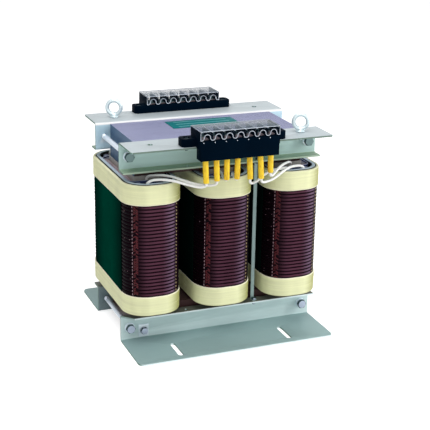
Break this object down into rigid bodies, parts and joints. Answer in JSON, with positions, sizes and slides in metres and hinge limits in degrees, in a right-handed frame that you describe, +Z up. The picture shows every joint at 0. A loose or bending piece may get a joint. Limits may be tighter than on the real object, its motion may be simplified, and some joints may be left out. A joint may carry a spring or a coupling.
{
  "type": "three-phase transformer",
  "caption": "Open dry-type three-phase transformer with wound coils on a laminated core, folded clamps with slotted feet, covered terminal blocks and lifting eyes.",
  "frame": {"origin": "centre of the four feet, on the surface that they stand on", "axes": "+X along the core, -Y towards the side with the bonding strap, +Z up"},
  "size_m": [0.322, 0.312, 0.3481],
  "materials": {
    "core_steel": "lacquered lamination edges, satin",
    "former_board": "glass-laminate board, matt",
    "inner_copper": "enamelled copper wire under varnish",
    "barrier_board": "varnished pressboard",
    "varnished_wire": "dark maroon varnish over copper wire, gloss",
    "cream_tape": "woven insulating tape, varnished",
    "green_sheet": "dark green insulating sheet, satin",
    "grey_collar": "insulating collar, matt",
    "duct_board": "varnished duct stick",
    "top_clamp_zinc": "grey zinc-plated sheet, satin",
    "bottom_clamp_zinc": "grey-green zinc-plated sheet, satin",
    "bright_zinc": "bright zinc plating",
    "block_black": "black moulded thermoset, semi-gloss",
    "clear_cover": "clear moulded plastic",
    "plated_brass": "nickel-plated brass",
    "teal_label": "bare teal-enamelled plate",
    "yellow_sleeve": "yellow insulating sleeve",
    "white_lead": "white lead insulation"
  },
  "bodies": {
    "root": {"core_limb_left": "core_steel", "core_limb_centre": "core_steel", "core_limb_right": "core_steel", "core_top_yoke": "core_steel", "core_bottom_yoke": "core_steel", "coil_former_left": "former_board", "coil_former_centre": "former_board", "coil_former_right": "former_board", "inner_winding_left": "inner_copper", "inner_winding_centre": "inner_copper", "inner_winding_right": "inner_copper", "barrier_tube_left": "barrier_board", "barrier_tube_centre": "barrier_board", "barrier_tube_right": "barrier_board", "outer_winding_left": "varnished_wire", "outer_winding_centre": "varnished_wire", "outer_winding_right": "varnished_wire", "upper_band_left": "cream_tape", "upper_band_centre": "cream_tape", "upper_band_right": "cream_tape", "lower_band_left": "cream_tape", "lower_band_centre": "cream_tape", "lower_band_right": "cream_tape", "side_sheets_left": "green_sheet", "side_sheets_centre": "green_sheet", "side_sheets_right": "green_sheet", "end_collars": "grey_collar", "duct_spacers": "duct_board", "front_top_clamp": "top_clamp_zinc", "rear_top_clamp": "top_clamp_zinc", "front_bottom_clamp": "bottom_clamp_zinc", "rear_bottom_clamp": "bottom_clamp_zinc", "tie_bolts": "bright_zinc", "flat_washers": "bright_zinc", "spring_washers": "bright_zinc", "tie_nuts": "bright_zinc", "front_lifting_eye": "bright_zinc", "rear_lifting_eye": "bright_zinc", "lifting_eye_nuts": "bright_zinc", "front_terminal_base": "block_black", "rear_terminal_base": "block_black", "front_terminal_cover": "clear_cover", "rear_terminal_cover": "clear_cover", "front_terminal_bars": "plated_brass", "rear_terminal_bars": "plated_brass", "front_terminal_screws": "bright_zinc", "rear_terminal_screws": "bright_zinc", "block_screws": "bright_zinc", "block_nuts": "bright_zinc", "label_plate": "teal_label", "bonding_strap": "bottom_clamp_zinc", "strap_screws": "bright_zinc", "strap_nuts": "bright_zinc", "earth_plate": "bright_zinc", "earth_bolt": "bright_zinc", "front_sleeves": "yellow_sleeve", "rear_sleeves": "yellow_sleeve", "front_leads": "white_lead", "rear_leads": "white_lead"}
  },
  "joints": []
}
